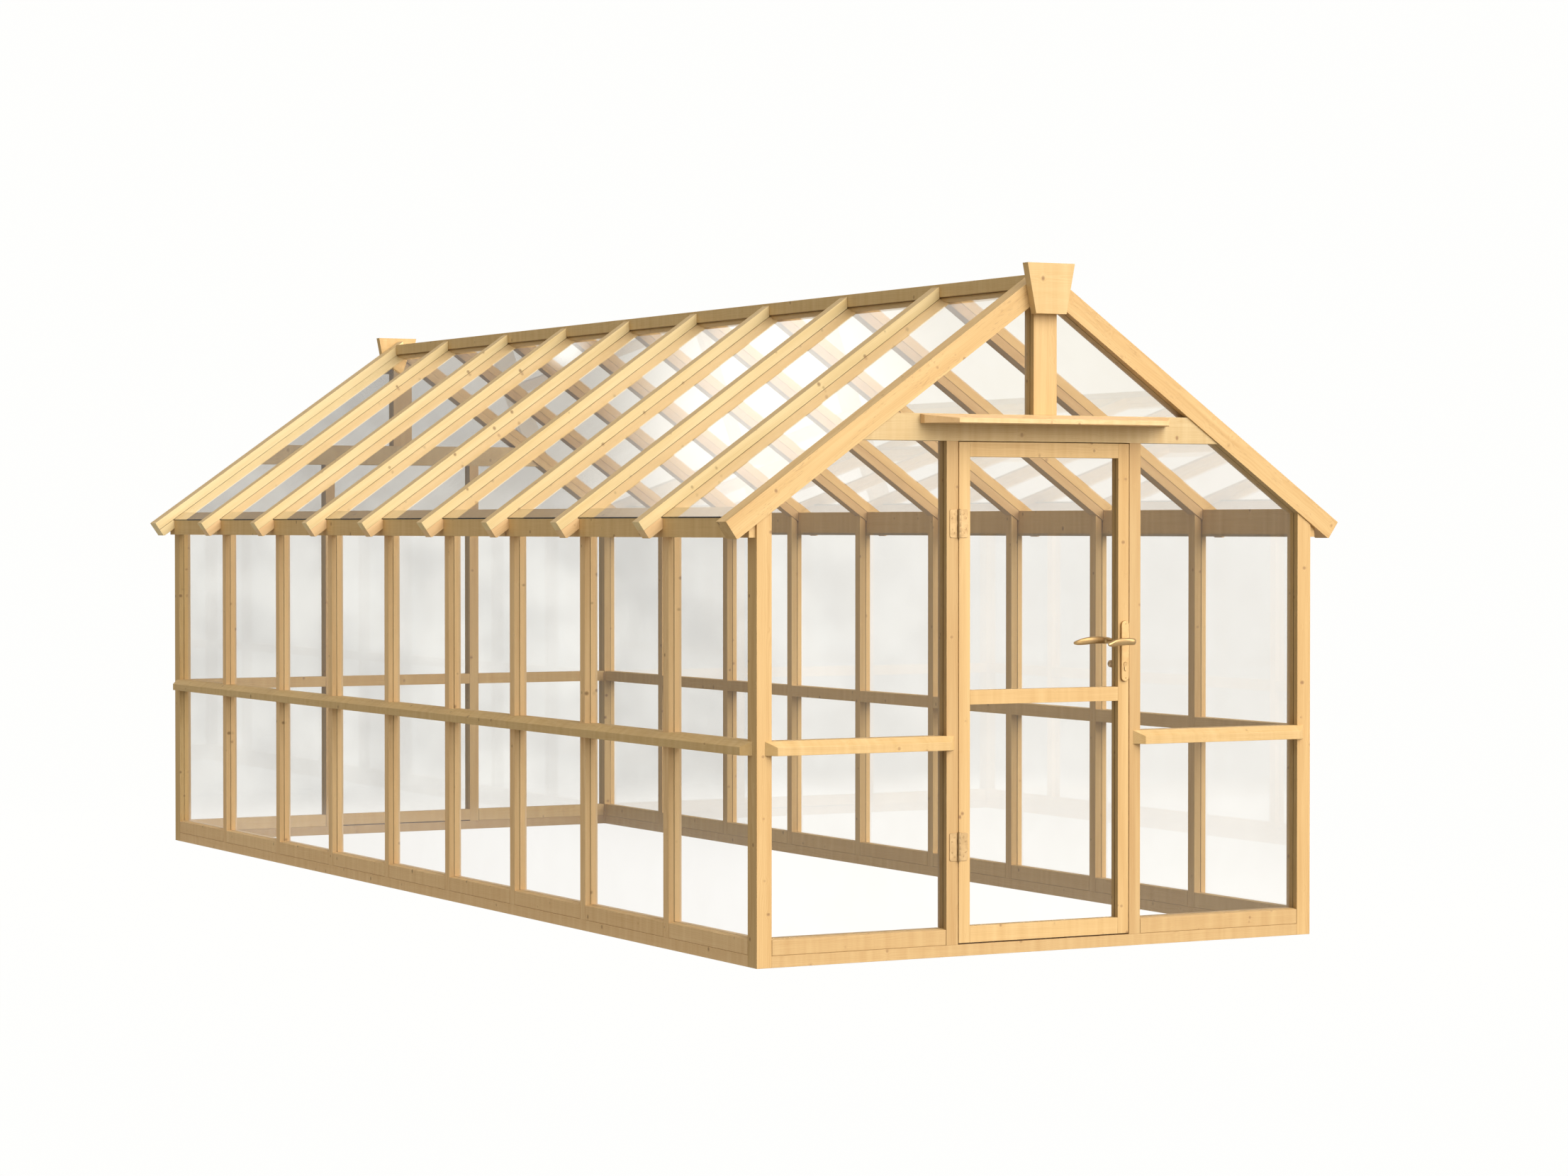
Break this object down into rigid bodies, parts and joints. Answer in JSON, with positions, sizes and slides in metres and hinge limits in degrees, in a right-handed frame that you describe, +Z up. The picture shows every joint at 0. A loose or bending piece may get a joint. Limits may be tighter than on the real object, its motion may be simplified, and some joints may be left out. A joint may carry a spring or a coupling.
{
  "type": "wooden greenhouse",
  "caption": "Long glazed timber greenhouse with a gabled roof, rafters and ridge, mid-height outer rails, a hood board and a hinged glazed door with lever handles.",
  "frame": {"origin": "centre of the bounding box on the ground, at the underside of the sills", "axes": "+X across the gable to the right seen from the door end, +Y along the ridge away from the door, +Z up"},
  "size_m": [2.64, 6.347, 2.5179],
  "materials": {
    "wall_timber": "clear-stained softwood, small knots",
    "door_timber": "clear-stained softwood, planed",
    "roof_timber": "clear-stained softwood, planed",
    "capping_timber": "clear-stained softwood, weathered top",
    "rail_timber": "clear-stained softwood, bevelled",
    "pane": "clear float glass",
    "roof_pane": "clear float glass under a bright sky",
    "hinge_brass": "satin brass",
    "handle_brass": "satin brass",
    "lock_steel": "zinc-plated steel"
  },
  "bodies": {
    "house": {"side_sills": "wall_timber", "gable_sills": "wall_timber", "corner_posts": "wall_timber", "left_posts": "wall_timber", "right_posts": "wall_timber", "left_battens": "wall_timber", "right_battens": "wall_timber", "side_kick_boards": "wall_timber", "front_kick_boards": "wall_timber", "back_kick_boards": "wall_timber", "side_transoms": "wall_timber", "gable_transoms": "wall_timber", "side_rails": "rail_timber", "front_rails": "rail_timber", "back_rail": "rail_timber", "wall_plates": "wall_timber", "left_rafters": "roof_timber", "right_rafters": "roof_timber", "left_cappings": "capping_timber", "right_cappings": "capping_timber", "gable_rafters": "roof_timber", "ridge_board": "capping_timber", "ridge_strips": "roof_timber", "cross_beams": "wall_timber", "king_posts": "wall_timber", "king_facings": "wall_timber", "keystone_boards": "capping_timber", "door_posts": "wall_timber", "door_post_facings": "wall_timber", "back_posts": "wall_timber", "back_post_facings": "wall_timber", "hood_board": "capping_timber", "door_stops": "wall_timber", "roof_glass": "roof_pane", "side_glass": "pane", "front_glass": "pane", "back_glass": "pane", "frame_hinge_leaves": "hinge_brass", "hinge_pins": "hinge_brass", "frame_hinge_screws": "hinge_brass", "strike_plate": "lock_steel"},
    "door": {"door_stiles": "door_timber", "door_rails": "door_timber", "door_glass": "pane", "door_hinge_leaves": "hinge_brass", "door_hinge_screws": "hinge_brass", "handle_plates": "handle_brass", "plate_screws": "handle_brass", "lock_case": "lock_steel", "lock_cylinder": "handle_brass", "key_plug": "handle_brass"},
    "handle": {"levers": "handle_brass", "spindle": "lock_steel"},
    "latch": {"latch_bolt": "lock_steel"},
    "turn": {"thumb_turn": "handle_brass"},
    "deadbolt": {"dead_bolt": "lock_steel"}
  },
  "joints": [
    {"name": "door_swing", "type": "hinge", "parent": "house", "child": "door", "pos_m": [-0.3685, -3.0398, 0.982], "axis": [0, 0, -1], "range_deg": [0, 105]},
    {"name": "lever_turn", "type": "hinge", "parent": "door", "child": "handle", "pos_m": [0.347, -3.0335, 1.131], "axis": [0, -1, 0], "range_deg": [0, 45], "stiffness_Nm_per_rad": 2, "springref_deg": -28.65},
    {"name": "latch_slide", "type": "slide", "parent": "door", "child": "latch", "axis": [-1, 0, 0], "range_m": [0, 0.01]},
    {"name": "turn_rotate", "type": "hinge", "parent": "door", "child": "turn", "pos_m": [0.347, -3.0335, 1.045], "axis": [0, 1, 0], "range_deg": [0, 90]},
    {"name": "deadbolt_slide", "type": "slide", "parent": "door", "child": "deadbolt", "axis": [1, 0, 0], "range_m": [0, 0.014]}
  ],
  "couplings": [
    {"joint": "latch_slide", "follows": "lever_turn", "m_per_rad": 0.0127},
    {"joint": "deadbolt_slide", "follows": "turn_rotate", "m_per_rad": 0.0089}
  ]
}
